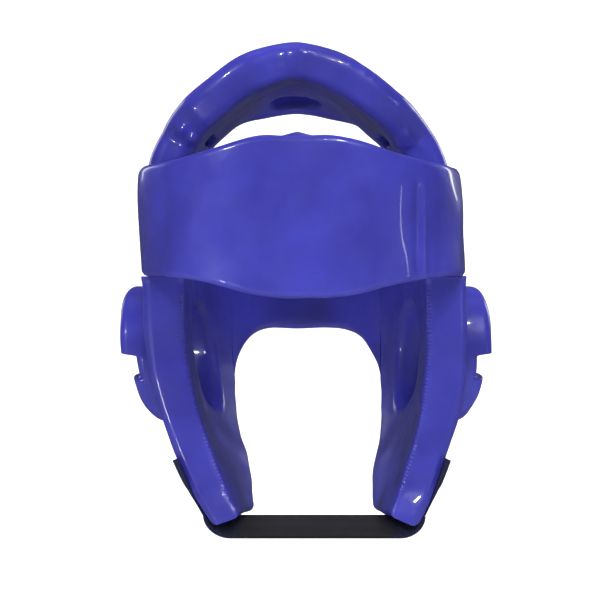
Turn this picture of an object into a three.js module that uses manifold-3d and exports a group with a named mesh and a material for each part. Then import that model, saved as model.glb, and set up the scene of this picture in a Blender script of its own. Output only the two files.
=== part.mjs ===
// Taekwondo head guard of dipped foam: brow pad, crown arch, side pads with jaw flaps, nape pad,
// raised ear guards and a chin strap. Millimetres, +Z up. The face looks along -Y and +X is the
// wearer's left. Heights are measured from the brow line, and the finished group is lowered so that
// the origin is the place inside the crown where the guard sits on the head.
import * as THREE from 'three';
import { mergeVertices } from 'three/addons/utils/BufferGeometryUtils.js';
import Module from 'manifold-3d';

const wasm = await Module();
wasm.setup();

// Space inside the foam
const headHalfWidth = 70.5;    // at the temples, the widest place
const browDepth = 97;          // from the middle of the head to the brow
const napeDepth = 97;          // from the middle of the head to the nape
const temple = 45;             // the widest place lies this far in front of the middle
const crownHeight = 129.3;     // from the brow line to the inside of the crown
const browRoundness = 2.5;     // plan exponent in front of the temples
const napeRoundness = 2.2;     // plan exponent behind the temples
const archPoint = 0.72;        // arch exponent across: lower is more pointed
const archSide = 8;            // arch exponent upwards: higher keeps the legs upright longer
const archLength = 3;          // arch exponent from front to back
const archBlunt = 0.58;        // rounding of the arch's point, as a share of its half width
const archSwell = 11;          // swelling of the arch's shoulders, and the same again drawn in above
const archSwellPower = 5.2;    // how late the swelling begins, going up
const archSwellTurn = 0.544;   // share of the height where it changes sign

// Foam
const foam = 23;               // thickness of a foam panel
const edgeRound = 6;           // rounding of a free foam edge
const jointRound = 1.2;        // rounding where two panels are glued edge to edge
const glue = 0.35;             // gap between glued pieces
const lean = 0.045;            // sideways lean of the whole guard for each millimetre of height

// Brow pad and the thin liner behind it
const browTop = 87;            // top edge in the middle
const browBottom = 1;          // bottom edge in the middle
const browTopDrop = 15;        // how far the top edge falls towards the temples
const browBottomRise = 13;     // how far the bottom edge rises towards the temples
const browTopLevel = 0.2;      // its top edge is level over this share of the half width
const browLevel = 0.12;        // and its bottom edge over this share
const browRound = 3.5;         // rounding of its outer edges
const linerThick = 5;
const linerShow = 2.6;         // the liner stands this far above the pad
const linerPeak = 2.6;         // extra height of its small middle peak
const linerPeakHalf = 12;      // half the width of that peak
const linerFade = 0.25;        // share of its length over which its top sinks to the pad's at an end

// Crown arch
const crownFrontEdge = 45;     // front edge at the top, in front of the middle
const crownRearEdge = 64;      // rear edge at the top, behind the middle
const crownRearFall = 3;       // how late the crown falls towards its rear
const crownRearRound = 3.2;    // and how flat it stays: higher is flatter
const crownRearArch = 0.8;     // arch exponent across at the rear: the arch is rounder there
const crownRoundFrom = 20;     // it begins to turn round this far behind the middle
const crownRoundTo = 60;       // and is quite round from here on
const legFront = 20;           // front edge of the legs, in front of the middle
const legRear = 30;            // rear edge of the legs, behind the middle
const ventLength = 31;         // middle vent, across
const ventWidth = 17;
const ventBack = 44;           // its middle lies this far behind the middle of the head
const sideVentLength = 22;
const sideVentWidth = 7;
const sideVentBack = 8;
const sideVentArch = 0.43;     // place of the side vents, as a share of the half arch

// Side pads and jaw flaps
const jawDrop = 131;           // from the brow line to the foot of the jaw flap
const jawFootRise = 5;         // the foot is this much higher at its rear corner
const jawFootTilt = 7;         // and this much higher at the inner face of its front corner
const jawTiltReach = 26;       // the tilt fades out over this height
const napeCorner = 65;         // rear edge of a side pad, behind the middle
const napeTop = 46;            // top edge of the nape pad
const napeTopRound = 8;        // fall of that edge towards the side pads
const napeArch = 18.5;         // bottom edge of the nape pad in the middle, below the brow line
const napeArchDrop = 33;       // further fall of that edge at the side pads
const napeArchPower = 5;       // how late that fall begins

// Ear hole and ear guards
const earBack = 18;            // middle of the ear hole, behind the middle of the head
const earDrop = 33;            // and below the brow line
const earHalfLength = 22;
const earHalfHeight = 29;
const earTip = 0.3;            // the hole is drawn out by this share towards its tip
const earTipTurn = -60;        // degrees from the rear, so the tip points down and back
const earTipSharp = 8;         // how narrow the tip is
const guardBand = 13;          // width of the ear guard's ring
const guardUpperRise = 19.1;   // how far the ring's upper half stands out
const guardLowerRise = 15.1;   // and its lower half
const grooveRise = 10.6;       // and its two sound grooves
const grooveTop = 0;           // top of a groove, below the middle of the ear hole
const grooveBottom = 12.5;     // and its bottom
const grooveStep = 1;          // how steep the groove's walls are: their width
const guardRound = 7;

// Chin strap
const strapWidth = 38;
const strapThick = 1.6;
const strapLift = 1.05;        // gap between the strap and the foam that it lies on
const strapStart = 92;         // its ends lie on the flaps this far below the brow line
const strapFlare = 8;          // the bend under a flap's foot reaches this much further in
const strapFront = 52;         // its front edge, in front of the middle
const strapDropFront = 6;      // how far its front edge runs below the feet of the flaps
const strapDropRear = 1.5;     // and its rear edge

// Fineness of the faceted surfaces
const crownGrid = { columns: 36, rows: 7 };
const browGrid = { columns: 30, rows: 6 };
const linerGrid = { columns: 30, rows: 2 };
const napeGrid = { columns: 18, rows: 6 };
const sideColumns = { front: 17, foot: 6, rear: 18, top: 13 };
const sideAcross = [0, 0.35, 0.7, 1];
const guardColumns = 36;
const strapColumns = 8;
const strapBends = 5;
const ventArcs = 4;
const measureSteps = 24;

// Shape of the side pads and jaw flaps, one row for each level. Level is a share of jawDrop, width a
// share of headHalfWidth, front a share of temple, rear a share of napeCorner and thick a share of
// foam. Turn is how far the flap's rear is turned in, for each millimetre behind its front edge.
const jawRows = [
  { level: 0.00, width: 1.000, front: 1.00, rear: 1.00, thick: 1.06, turn: 0.00 },
  { level: 0.30, width: 0.975, front: 1.00, rear: 1.00, thick: 1.06, turn: 0.00 },
  { level: 0.40, width: 0.945, front: 1.00, rear: 0.99, thick: 1.05, turn: 0.00 },
  { level: 0.53, width: 0.890, front: 1.02, rear: 0.92, thick: 1.03, turn: 0.01 },
  { level: 0.64, width: 0.830, front: 1.06, rear: 0.69, thick: 1.01, turn: 0.06 },
  { level: 0.74, width: 0.770, front: 1.11, rear: 0.46, thick: 0.98, turn: 0.12 },
  { level: 0.84, width: 0.695, front: 1.17, rear: 0.22, thick: 0.95, turn: 0.15 },
  { level: 0.93, width: 0.620, front: 1.24, rear: -0.02, thick: 0.91, turn: 0.13 },
  { level: 1.00, width: 0.575, front: 1.28, rear: -0.18, thick: 0.87, turn: 0.12 },
];

// Edges of the crown, one row for each place along the half arch, from the top (0) to the foot of a
// leg (1). Front and rear say how far the edge has gone from its place at the top to that of the leg.
const crownRows = [
  { arch: 0.00, front: 0.00, rear: 0.00 },
  { arch: 0.12, front: 0.01, rear: 0.06 },
  { arch: 0.25, front: 0.06, rear: 0.34 },
  { arch: 0.38, front: 0.28, rear: 0.80 },
  { arch: 0.45, front: 0.66, rear: 0.96 },
  { arch: 0.52, front: 1.00, rear: 1.00 },
  { arch: 1.00, front: 1.00, rear: 1.00 },
];

const browFoot = browBottom + browBottomRise;
const legFoot = browFoot + glue;
const sideTop = browFoot - glue;

const clamp = THREE.MathUtils.clamp;
const lerp = THREE.MathUtils.lerp;
const ease = (share) => THREE.MathUtils.smoothstep(share, 0, 1);

// Reads a column of a table at a place between its rows, without overshoot at level stretches.
function column(rows, key, name, at) {
  const last = rows.length - 1;
  const slope = (i) => (rows[i + 1][name] - rows[i][name]) / (rows[i + 1][key] - rows[i][key]);
  const tangent = (i) => {
    if (i === 0 || i === last) return 0;
    const before = slope(i - 1);
    const after = slope(i);
    return before * after <= 0 ? 0 : (2 * before * after) / (before + after);
  };
  const place = clamp(at, rows[0][key], rows[last][key]);
  let i = 0;
  while (i < last - 1 && rows[i + 1][key] < place) i += 1;
  const span = rows[i + 1][key] - rows[i][key];
  const t = (place - rows[i][key]) / span;
  const start = (1 + 2 * t) * (1 - t) ** 2 * rows[i][name] + t * (1 - t) ** 2 * span * tangent(i);
  const end = t * t * (3 - 2 * t) * rows[i + 1][name] + t * t * (t - 1) * span * tangent(i + 1);
  return start + end;
}

// Turns a share of a curve's length into the curve's own parameter.
function evenly(curve, from, to, pieces = 400) {
  const lengths = [0];
  let before = curve(from);
  for (let i = 1; i <= pieces; i += 1) {
    const next = curve(lerp(from, to, i / pieces));
    lengths.push(lengths[i - 1] + next.distanceTo(before));
    before = next;
  }
  return (share) => {
    const target = clamp(share, 0, 1) * lengths[pieces];
    let i = 1;
    while (i < pieces && lengths[i] < target) i += 1;
    const part = (target - lengths[i - 1]) / (lengths[i] - lengths[i - 1]);
    return lerp(from, to, (i - 1 + part) / pieces);
  };
}

// Plan of the head space. Angle 0 is the brow and PI the nape, positive towards +X.
function planPoint(angle) {
  const forward = Math.cos(angle);
  const sideways = Math.sin(angle);
  const roundness = forward > 0 ? browRoundness : napeRoundness;
  const reach = forward > 0 ? browDepth - temple : napeDepth + temple;
  const x = headHalfWidth * Math.sign(sideways) * Math.abs(sideways) ** (2 / roundness);
  const y = -temple - Math.sign(forward) * reach * Math.abs(forward) ** (2 / roundness);
  return new THREE.Vector2(x, y);
}

// The plan angle at which the head space has a given y, behind the temples.
function planAngle(y) {
  const share = (y + temple) / (napeDepth + temple);
  return Math.PI - Math.acos(clamp(share, 0, 1) ** (napeRoundness / 2));
}

// Half the width of the head space at a given y.
function halfWidth(y) {
  const front = y < -temple;
  const roundness = front ? browRoundness : napeRoundness;
  const reach = front ? browDepth - temple : napeDepth + temple;
  const share = clamp(Math.abs(y + temple) / reach, 0, 1);
  return headHalfWidth * (1 - share ** roundness) ** (1 / roundness);
}

// Half width of the arch at a share of its height, as a share of its foot's half width.
function archAcross(height) {
  const share = clamp(height, 0, 1);
  const pointed = (1 - share ** archSide) ** (1 / archPoint);
  const across = Math.sqrt(((pointed + archBlunt) ** 2 - archBlunt ** 2) / (1 + 2 * archBlunt));
  const swell = share ** archSwellPower * (1 - share) * (archSwellTurn - share);
  return across * (1 + archSwell * swell);
}

// What is left of the head space's width and length at a height above the brow line.
function narrowing(z) {
  const left = 1 - clamp(z / crownHeight, 0, 1) ** archSide;
  return { across: archAcross(z / crownHeight), along: left ** (1 / archLength) };
}

const jaw = (z, name) => column(jawRows, 'level', name, -z / jawDrop);
const sideFront = (z) => -temple * jaw(z, 'front');
const sideRear = (z) => napeCorner * jaw(z, 'rear');

// Inner face of the brow and nape panels.
function bandPoint(angle, z) {
  const plan = planPoint(angle);
  const size = narrowing(z);
  return new THREE.Vector3(plan.x * size.across * jaw(z, 'width'), plan.y * size.along, z);
}

// Inner face of a side pad, at side 1 or -1.
function sidePoint(side, y, z) {
  const size = narrowing(z);
  const turnedIn = jaw(z, 'turn') * Math.max(0, y - sideFront(z));
  const x = halfWidth(y / size.along) * size.across * jaw(z, 'width') - turnedIn;
  return new THREE.Vector3(side * x, y, z);
}

// Inner height of the crown over the middle line at a given y.
function ridge(y) {
  const front = y < 0;
  const share = clamp(Math.abs(y) / (front ? browDepth : napeDepth), 0, 1);
  const fall = share ** (front ? archLength : crownRearFall);
  return crownHeight * (1 - fall) ** (1 / (front ? archSide : crownRearRound));
}

// Half arch over the middle of the head: the parameter is the root of the share of height below the
// top.
function archCurve(fall) {
  const height = 1 - fall ** 2;
  return new THREE.Vector2(headHalfWidth * archAcross(height), crownHeight * height);
}
const archPlace = evenly(archCurve, 0, Math.sqrt(1 - legFoot / crownHeight));

// Half width of the crown as a share of the head space's, at a place and a share of its height: the
// pointed arch, which turns into a round one towards the rear.
function crownAcross(y, height) {
  const round = (1 - clamp(height, 0, 1) ** archSide) ** crownRearArch;
  const share = ease((y - crownRoundFrom) / (crownRoundTo - crownRoundFrom));
  return lerp(archAcross(height), round, share);
}

// Inner face of the crown. Arch runs from -1 to 1, ear to ear.
function crownPoint(arch, y) {
  const rise = (archCurve(archPlace(Math.abs(arch))).y - legFoot) / (crownHeight - legFoot);
  const z = lerp(legFoot, ridge(y), clamp(rise, 0, 1));
  const x = Math.sign(arch) * halfWidth(y) * crownAcross(y, z / ridge(y));
  return new THREE.Vector3(x, y, z);
}

// Point at a height over an inner face, square to that face. The face is given as a function of two
// parameters, with the small steps that measure its slope.
function above(face, a, b, stepA, stepB, out) {
  const alongA = face(a + stepA, b).sub(face(a - stepA, b));
  const alongB = face(a, b + stepB).sub(face(a, b - stepB));
  const normal = alongA.cross(alongB).normalize();
  const middle = new THREE.Vector3(0, 0, Math.min(0, face(a, b).z));
  if (normal.dot(face(a, b).sub(middle)) < 0) normal.negate();
  return face(a, b).addScaledVector(normal, out);
}

const angleStep = 0.01;
const archStep = 0.004;
const lengthStep = 0.5;
const overBand = (angle, z, out) => above(bandPoint, angle, z, angleStep, lengthStep, out);
const overCrown = (arch, y, out) => above(crownPoint, arch, y, archStep, lengthStep, out);

// Point at a level distance over the inner face of a side pad. Share is how much of the foam lies
// between them, and extra is a further distance.
function overSide(side, y, z, share, extra = 0) {
  const run = sidePoint(side, y + lengthStep, z).sub(sidePoint(side, y - lengthStep, z));
  const normal = new THREE.Vector3(run.y, -run.x, 0).normalize().multiplyScalar(side);
  const distance = share * foam * jaw(z, 'thick') + extra;
  return sidePoint(side, y, z).addScaledVector(normal, distance);
}

// Rounded edge of a panel, from the inner face to the outer: how far each line of the edge is set in
// from the outline, and its height.
function edgeProfile(thick, innerRound, outerRound) {
  const half = 1 - Math.SQRT1_2;
  return [
    { inset: innerRound, out: 0 },
    { inset: innerRound * half, out: innerRound * half },
    { inset: 0, out: innerRound },
    { inset: 0, out: thick - outerRound },
    { inset: outerRound * half, out: thick - outerRound * half },
    { inset: outerRound, out: thick },
  ];
}

// The same for a panel too thin to be rounded, with a plain bevel.
function bevelProfile(thick, bevel) {
  return [
    { inset: bevel, out: 0 },
    { inset: 0, out: bevel },
    { inset: 0, out: thick - bevel },
    { inset: bevel, out: thick },
  ];
}

// Closed surface from vertices and triangles, with its faces turned outwards.
function solid(points, triangles) {
  let volume = 0;
  for (const [a, b, c] of triangles) {
    volume += points[a].dot(points[b].clone().cross(points[c]));
  }
  const faces = volume < 0 ? triangles.map(([a, b, c]) => [a, c, b]) : triangles;
  const geometry = new THREE.BufferGeometry();
  const position = new Float32Array(points.flatMap((point) => point.toArray()));
  geometry.setAttribute('position', new THREE.BufferAttribute(position, 3));
  geometry.setIndex(faces.flat());
  return geometry;
}

// Panel over a four-sided outline. place(u, v, out) gives its points, with u and v from 0 to 1, and
// lines is the profile of its edge.
function panel(place, { columns, rows }, lines) {
  const points = [];
  const triangles = [];
  const lengthU = lengthOf((u) => place(u, 0.5, 0));
  const lengthV = lengthOf((v) => place(0.5, v, 0));
  const node = (i, j, inset, out) => {
    const insetU = inset / lengthU;
    const insetV = inset / lengthV;
    const u = lerp(insetU, 1 - insetU, i / columns);
    const v = lerp(insetV, 1 - insetV, j / rows);
    points.push(place(u, v, out));
    return points.length - 1;
  };
  const face = (line) => {
    const grid = [];
    for (let i = 0; i <= columns; i += 1) {
      grid.push([]);
      for (let j = 0; j <= rows; j += 1) grid[i].push(node(i, j, line.inset, line.out));
    }
    return grid;
  };
  const outline = [];
  for (let i = 0; i < columns; i += 1) outline.push([i, 0]);
  for (let j = 0; j < rows; j += 1) outline.push([columns, j]);
  for (let i = columns; i > 0; i -= 1) outline.push([i, rows]);
  for (let j = rows; j > 0; j -= 1) outline.push([0, j]);

  const inner = face(lines[0]);
  const outer = face(lines[lines.length - 1]);
  for (let i = 0; i < columns; i += 1) {
    for (let j = 0; j < rows; j += 1) {
      triangles.push([inner[i][j], inner[i][j + 1], inner[i + 1][j]]);
      triangles.push([inner[i + 1][j], inner[i][j + 1], inner[i + 1][j + 1]]);
      triangles.push([outer[i][j], outer[i + 1][j], outer[i][j + 1]]);
      triangles.push([outer[i + 1][j], outer[i + 1][j + 1], outer[i][j + 1]]);
    }
  }
  const rings = lines.map((line, k) => {
    if (k === 0) return outline.map(([i, j]) => inner[i][j]);
    if (k === lines.length - 1) return outline.map(([i, j]) => outer[i][j]);
    return outline.map(([i, j]) => node(i, j, line.inset, line.out));
  });
  stitchRings(rings, triangles);
  return solid(points, triangles);
}

// Joins each closed ring of vertices to the next.
function stitchRings(rings, triangles) {
  for (let k = 0; k + 1 < rings.length; k += 1) {
    const count = rings[k].length;
    for (let i = 0; i < count; i += 1) {
      const next = (i + 1) % count;
      triangles.push([rings[k][i], rings[k][next], rings[k + 1][i]]);
      triangles.push([rings[k][next], rings[k + 1][next], rings[k + 1][i]]);
    }
  }
}

function lengthOf(curve) {
  let length = 0;
  for (let i = 0; i < measureSteps; i += 1) {
    length += curve(i / measureSteps).distanceTo(curve((i + 1) / measureSteps));
  }
  return length;
}

// Brow pad: a lens-shaped panel across the front, round to the legs of the crown.
const browAngle = planAngle(-legFront - glue);
const browEven = evenly((angle) => planPoint(angle), -browAngle, browAngle);

function browLevels(angle) {
  const share = Math.abs(planPoint(angle).x) / headHalfWidth;
  return {
    top: browTop - browTopDrop * ease((share - browTopLevel) / (1 - browTopLevel)),
    bottom: browBottom + browBottomRise * ease((share - browLevel) / (1 - browLevel)),
  };
}

function browPad() {
  const place = (u, v, out) => {
    const angle = browEven(u);
    const levels = browLevels(angle);
    return overBand(angle, lerp(levels.bottom, levels.top, v), linerThick + glue + out);
  };
  const thick = foam - linerThick - glue;
  return panel(place, browGrid, edgeProfile(thick, jointRound, browRound));
}

// Thin liner behind the brow pad. Its top edge shows, with a small peak in the middle.
function browLiner() {
  const place = (u, v, out) => {
    const angle = browEven(u);
    const levels = browLevels(angle);
    const fromMiddle = Math.abs(planPoint(angle).x) / linerPeakHalf;
    const peak = linerPeak * Math.max(0, 1 - fromMiddle);
    const show = linerShow * ease(Math.min(u, 1 - u) / linerFade);
    const top = levels.top + show + peak;
    return overBand(angle, lerp(levels.bottom, top, v), out);
  };
  return panel(place, linerGrid, bevelProfile(linerThick, jointRound));
}

// Crown arch with a middle vent and a vent in each flank.
function crownEdges(arch) {
  const at = Math.abs(arch);
  return {
    front: lerp(-crownFrontEdge, -legFront + glue, column(crownRows, 'arch', 'front', at)),
    rear: lerp(crownRearEdge, legRear, column(crownRows, 'arch', 'rear', at)),
  };
}

function crown() {
  const place = (u, v, out) => {
    const arch = 2 * u - 1;
    const edges = crownEdges(arch);
    return overCrown(arch, lerp(edges.front, edges.rear, v), out);
  };
  const body = panel(place, crownGrid, edgeProfile(foam, edgeRound, edgeRound));
  const vents = [
    ventCutter(0, ventBack, ventLength, ventWidth),
    ventCutter(-sideVentArch, sideVentBack, sideVentWidth, sideVentLength),
    ventCutter(sideVentArch, sideVentBack, sideVentWidth, sideVentLength),
  ];
  return vents.reduce(cut, body);
}

// Slot with round ends, square to the crown at a place on its arch.
function ventCutter(arch, y, across, along) {
  const radius = Math.min(across, along) / 2;
  const halfX = across / 2 - radius;
  const halfY = along / 2 - radius;
  const shape = new THREE.Shape();
  shape.moveTo(halfX + radius, -halfY);
  shape.absarc(halfX, halfY, radius, 0, Math.PI / 2);
  shape.absarc(-halfX, halfY, radius, Math.PI / 2, Math.PI);
  shape.absarc(-halfX, -halfY, radius, Math.PI, 1.5 * Math.PI);
  shape.absarc(halfX, -halfY, radius, 1.5 * Math.PI, 2 * Math.PI);
  const depth = 2 * foam;
  const settings = { depth, curveSegments: ventArcs, bevelEnabled: false };
  const slot = new THREE.ExtrudeGeometry(shape, settings);
  slot.translate(0, 0, -depth / 2);
  const foot = overCrown(arch, y, 0);
  const head = overCrown(arch, y, foam);
  const up = head.clone().sub(foot).normalize();
  const right = new THREE.Vector3(0, 1, 0).cross(up).normalize();
  const back = up.clone().cross(right);
  const turn = new THREE.Matrix4().makeBasis(right, back, up);
  const middle = foot.lerp(head, 0.5);
  return slot.applyMatrix4(turn).translate(middle.x, middle.y, middle.z);
}

function toManifold(geometry) {
  const bare = geometry.clone();
  bare.deleteAttribute('normal');
  bare.deleteAttribute('uv');
  const merged = mergeVertices(bare, 1e-4);
  const vertProperties = new Float32Array(merged.attributes.position.array);
  const triVerts = new Uint32Array(merged.index.array);
  return new wasm.Manifold(new wasm.Mesh({ numProp: 3, vertProperties, triVerts }));
}

function cut(body, tool) {
  const mesh = toManifold(body).subtract(toManifold(tool)).getMesh();
  const geometry = new THREE.BufferGeometry();
  const position = new Float32Array(mesh.vertProperties);
  geometry.setAttribute('position', new THREE.BufferAttribute(position, 3));
  geometry.setIndex(Array.from(mesh.triVerts));
  return geometry;
}

// Outline of a side pad in its own plane, as y and z: down the front edge, along the foot of the
// flap, up the rear edge and back along the top.
function sideOutline() {
  const rearFoot = -jawDrop + jawFootRise;
  const front = (t) => {
    const z = lerp(sideTop, -jawDrop, t);
    return new THREE.Vector2(sideFront(z), z);
  };
  const foot = (t) => new THREE.Vector2(
    lerp(sideFront(-jawDrop), sideRear(rearFoot), t),
    lerp(-jawDrop, rearFoot, t),
  );
  const rear = (t) => {
    const z = lerp(rearFoot, napeTop - napeTopRound, t);
    return new THREE.Vector2(sideRear(z), z);
  };
  const top = (t) => {
    const y = lerp(napeCorner, -temple, t);
    const rise = ease((y - legRear - glue) / (napeCorner - legRear - glue));
    return new THREE.Vector2(y, lerp(sideTop, napeTop - napeTopRound, rise));
  };
  const outline = [];
  Object.entries({ front, foot, rear, top }).forEach(([name, edge]) => {
    const even = evenly(edge, 0, 1);
    const count = sideColumns[name];
    for (let i = 0; i < count; i += 1) outline.push(edge(even(i / count)));
  });
  return outline;
}

// Distance from the middle of the ear hole to its edge, in a direction of the pad's plane.
function earReach(direction) {
  const forward = Math.cos(direction) / earHalfLength;
  const upward = Math.sin(direction) / earHalfHeight;
  const away = 1 - Math.cos(direction - THREE.MathUtils.degToRad(earTipTurn));
  return (1 + earTip * Math.exp(-earTipSharp * away)) / Math.hypot(forward, upward);
}

// How much higher the foot of a jaw flap is at a height out through the foam: most at the inner face
// of its front corner.
function footTilt(y, z, out) {
  const footFront = sideFront(-jawDrop);
  const footRear = sideRear(-jawDrop);
  const forward = clamp((footRear - y) / (footRear - footFront), 0, 1);
  return jawFootTilt * forward * (1 - out / foam) * ease(1 - (jawDrop + z) / jawTiltReach);
}

// Side pad with its jaw flap: a ring from the ear hole to the outline, closed round its section.
function sidePad(side) {
  const outline = sideOutline();
  const centre = new THREE.Vector2(earBack, -earDrop);
  const holeEdge = edgeProfile(foam, edgeRound, jointRound);
  const outerEdge = edgeProfile(foam, edgeRound / 2, edgeRound);
  const points = [];
  const rings = [];
  outline.forEach((end) => {
    const direction = Math.atan2(end.y - centre.y, end.x - centre.x);
    const reach = earReach(direction);
    const length = end.distanceTo(centre);
    const free = end.y < sideTop - 1 && !(end.x > napeCorner - 1);
    const at = (distance, out) => {
      const y = centre.x + Math.cos(direction) * distance;
      const z = centre.y + Math.sin(direction) * distance;
      return overSide(side, y, z + footTilt(y, z, out), out / foam);
    };
    const section = [];
    const innerHole = reach + holeEdge[0].inset;
    const innerEnd = length - (free ? outerEdge[0].inset : jointRound);
    const outerHole = reach + jointRound;
    const outerEnd = length - (free ? edgeRound : jointRound);
    sideAcross.forEach((share) => section.push(at(lerp(innerHole, innerEnd, share), 0)));
    const rim = free ? outerEdge : edgeProfile(foam, jointRound, jointRound);
    rim.slice(1, -1).forEach((line) => section.push(at(length - line.inset, line.out)));
    sideAcross.forEach((share) => section.push(at(lerp(outerEnd, outerHole, share), foam)));
    const hole = holeEdge.slice(1, -1).reverse();
    hole.forEach((line) => section.push(at(reach + line.inset, line.out)));
    rings.push(section.map((point) => points.push(point) - 1));
  });
  const triangles = [];
  stitchRings([...rings, rings[0]], triangles);
  return solid(points, triangles);
}

// Nape pad between the side pads. Its bottom edge arches over the neck.
const napeFrom = planAngle(napeCorner + glue);
const napeEven = evenly((angle) => planPoint(angle), napeFrom, 2 * Math.PI - napeFrom);
const napeHalf = planPoint(napeFrom).x;

function napePad() {
  const place = (u, v, out) => {
    const angle = napeEven(u);
    const share = Math.abs(planPoint(angle).x) / napeHalf;
    const bottom = -napeArch - napeArchDrop * share ** napeArchPower;
    const top = napeTop - napeTopRound * share ** 2;
    return overBand(angle, lerp(bottom, top, v), out);
  };
  return panel(place, napeGrid, edgeProfile(foam, edgeRound, edgeRound));
}

// How far the ear guard stands out at a height from the middle of the ear hole.
function guardRise(height) {
  const intoGroove = ease((grooveTop + grooveStep / 2 - height) / grooveStep);
  const outOfGroove = ease((grooveBottom + grooveStep / 2 + height) / grooveStep);
  const lower = height < -(grooveTop + grooveBottom) / 2;
  if (lower) return lerp(guardLowerRise, grooveRise, outOfGroove);
  return lerp(guardUpperRise, grooveRise, intoGroove);
}

// Ear guard: a thick ring of foam round the ear hole, cut by a sound groove in front and behind.
function earGuard(side) {
  const middleHeight = earHalfHeight + guardBand / 2;
  const turns = [];
  for (let i = 0; i < guardColumns; i += 1) turns.push((2 * Math.PI * i) / guardColumns);
  [grooveTop, grooveBottom].forEach((groove) => {
    [groove - grooveStep, groove + grooveStep].forEach((level) => {
      const turn = Math.asin(-level / middleHeight);
      turns.push((turn + 2 * Math.PI) % (2 * Math.PI), Math.PI - turn);
    });
  });
  turns.sort((a, b) => a - b);
  const apart = turns.filter((turn, i) => i === 0 || turn - turns[i - 1] > angleStep);
  const points = [];
  const rings = apart.map((turn) => {
    const rise = guardRise(middleHeight * Math.sin(turn));
    const edge = edgeProfile(rise, 0, Math.min(guardRound, rise / 2)).slice(2);
    const outside = edge.map((line) => [guardBand - line.inset, line.out]);
    const inside = [...edge].reverse().map((line) => [jointRound + line.inset, line.out]);
    return [...outside, ...inside].map(([from, out]) => {
      const y = earBack + (earHalfLength + from) * Math.cos(turn);
      const z = -earDrop + (earHalfHeight + from) * Math.sin(turn);
      return points.push(overSide(side, y, z, 1, glue + out)) - 1;
    });
  });
  const triangles = [];
  stitchRings([...rings, rings[0]], triangles);
  return solid(points, triangles);
}

// Chin strap: along the outside of one flap, round its foot, under the chin and up the other flap.
function strapLine(y, drop) {
  const footFront = sideFront(-jawDrop);
  const footRear = sideRear(-jawDrop + jawFootRise);
  const foot = -jawDrop + jawFootRise * ((y - footFront) / (footRear - footFront));
  const bend = edgeRound + drop;
  const half = [];
  for (let i = 0; i <= strapColumns; i += 1) {
    const z = lerp(-strapStart, foot + edgeRound, i / strapColumns);
    half.push(overSide(1, y, z, 1, strapLift));
  }
  const heel = half[half.length - 1];
  for (let i = 1; i <= strapBends; i += 1) {
    const turn = (i / strapBends) * (Math.PI / 2);
    const x = heel.x - (edgeRound + strapFlare) * (1 - Math.cos(turn));
    half.push(new THREE.Vector3(x, y, heel.z - bend * Math.sin(turn)));
  }
  const last = half[half.length - 1];
  half.push(new THREE.Vector3(last.x / 2, y, last.z));
  const middle = new THREE.Vector3(0, y, last.z);
  const other = [...half].reverse().map((point) => new THREE.Vector3(-point.x, point.y, point.z));
  return [...half, middle, ...other];
}

function chinStrap() {
  const front = strapLine(-strapFront, strapDropFront);
  const rear = strapLine(-strapFront + strapWidth, strapDropRear);
  const outward = (line, i) => {
    const before = line[Math.max(0, i - 1)];
    const after = line[Math.min(line.length - 1, i + 1)];
    const run = after.clone().sub(before);
    const normal = new THREE.Vector3(-run.z, 0, run.x).normalize();
    return line[i].clone().addScaledVector(normal, strapThick);
  };
  const points = [];
  const rings = front.map((point, i) => {
    const section = [point, rear[i], outward(rear, i), outward(front, i)];
    return section.map((corner) => points.push(corner) - 1);
  });
  const triangles = [];
  stitchRings(rings, triangles);
  const last = rings[rings.length - 1];
  triangles.push([rings[0][0], rings[0][3], rings[0][1]], [rings[0][1], rings[0][3], rings[0][2]]);
  triangles.push([last[0], last[1], last[3]], [last[1], last[2], last[3]]);
  return solid(points, triangles);
}

const skin = { color: 0x4747aa, roughness: 0.32, metalness: 0 };
const elastic = { color: 0x242428, roughness: 0.85, metalness: 0 };

const guard = new THREE.Group();
guard.position.z = -crownHeight;

function addPiece(name, geometry, finish) {
  const shear = new THREE.Matrix4().set(
    1, 0, -lean, lean * crownHeight,
    0, 1, 0, 0,
    0, 0, 1, 0,
    0, 0, 0, 1,
  );
  geometry.applyMatrix4(shear);
  geometry.computeVertexNormals();
  const mesh = new THREE.Mesh(geometry, new THREE.MeshStandardMaterial(finish));
  mesh.name = name;
  guard.add(mesh);
}

addPiece('brow_pad', browPad(), skin);
addPiece('brow_liner', browLiner(), skin);
addPiece('crown_arch', crown(), skin);
addPiece('nape_pad', napePad(), skin);
for (const [name, side] of [['left', 1], ['right', -1]]) {
  addPiece(`side_pad_${name}`, sidePad(side), skin);
  addPiece(`ear_guard_${name}`, earGuard(side), skin);
}
addPiece('chin_strap', chinStrap(), elastic);

const part = new THREE.Group();
part.add(guard);

export default part;
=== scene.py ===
import math

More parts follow.
